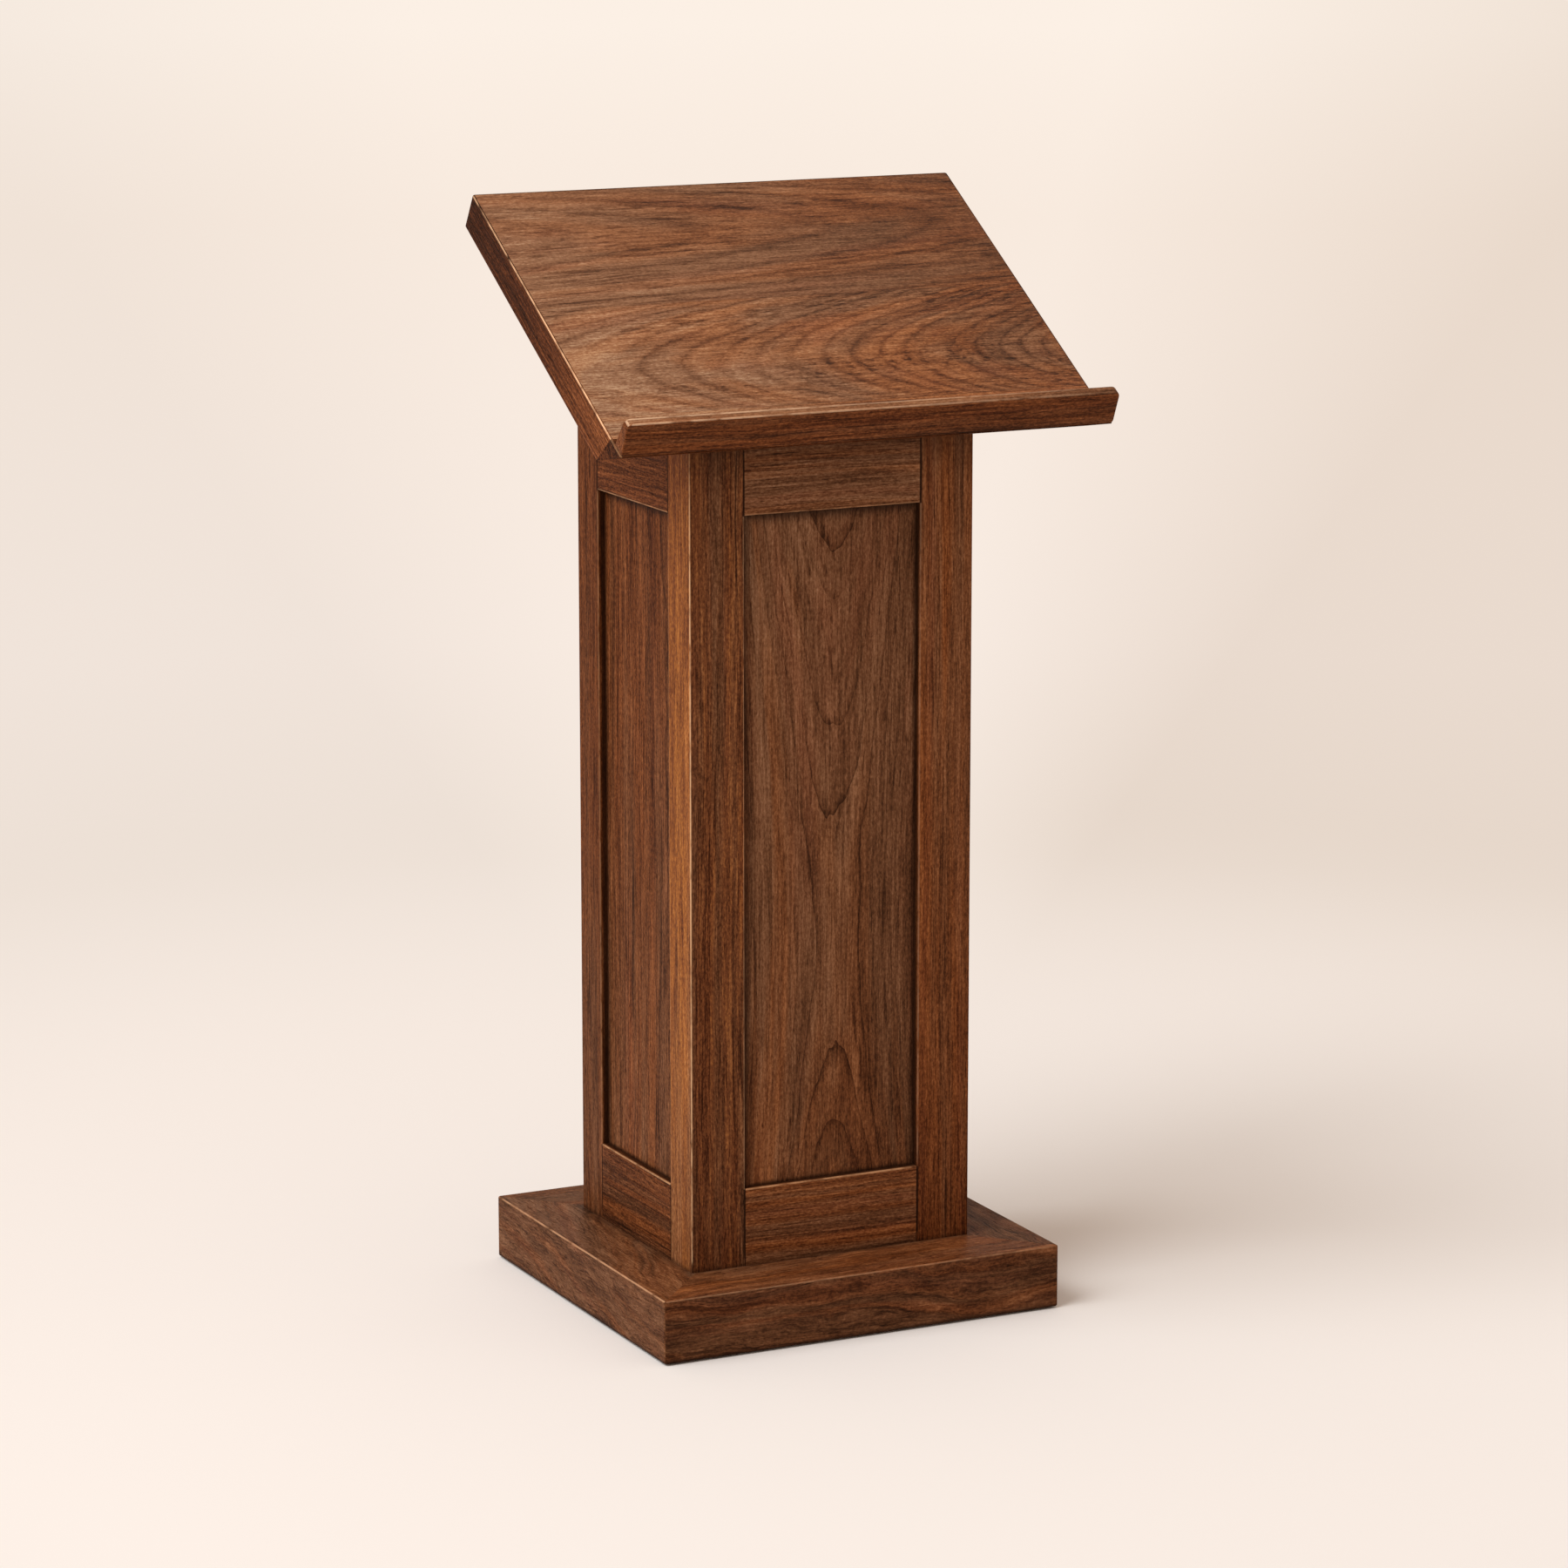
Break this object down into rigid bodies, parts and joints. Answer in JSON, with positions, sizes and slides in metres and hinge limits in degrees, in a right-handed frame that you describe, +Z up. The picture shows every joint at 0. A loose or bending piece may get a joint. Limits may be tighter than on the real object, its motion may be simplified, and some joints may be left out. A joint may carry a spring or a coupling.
{
  "type": "lectern",
  "caption": "Freestanding wooden lectern: a sloping desk with a book ledge on a panelled square-cornered column that stands on a broad mitred plinth.",
  "frame": {"origin": "centre of the plinth's footprint, on the floor", "axes": "+X to the reader's right, -Y towards the reader, +Z up"},
  "size_m": [0.56, 0.4638, 1.1814],
  "materials": {
    "walnut": "satin",
    "walnut_panel": "satin",
    "beech": "raw",
    "pine": "raw",
    "steel": "zinc plated",
    "nylon": "matte"
  },
  "bodies": {
    "root": {"book_ledge": "walnut", "cleat_screws": "steel", "desk_front_board": "walnut", "desk_left_band": "walnut", "desk_middle_board": "walnut", "desk_nosing": "walnut", "desk_rear_band": "walnut", "desk_rear_board": "walnut", "desk_right_band": "walnut", "desk_screws": "steel", "desk_splines": "beech", "floor_glides": "nylon", "front_bottom_rail": "walnut", "front_foot_cleat": "pine", "front_left_post": "walnut", "front_panel": "walnut_panel", "front_right_post": "walnut", "front_top_rail": "walnut", "ledge_dowels": "beech", "left_bottom_rail": "walnut", "left_desk_cleat": "pine", "left_foot_cleat": "pine", "left_panel": "walnut_panel", "left_top_rail": "walnut", "nosing_dowels": "beech", "plinth_front": "walnut", "plinth_left": "walnut", "plinth_rear": "walnut", "plinth_right": "walnut", "plinth_screws": "steel", "plinth_splines": "beech", "rear_bottom_rail": "walnut", "rear_foot_cleat": "pine", "rear_left_post": "walnut", "rear_panel": "walnut_panel", "rear_right_post": "walnut", "rear_top_rail": "walnut", "right_bottom_rail": "walnut", "right_desk_cleat": "pine", "right_foot_cleat": "pine", "right_panel": "walnut_panel", "right_top_rail": "walnut"}
  },
  "joints": []
}
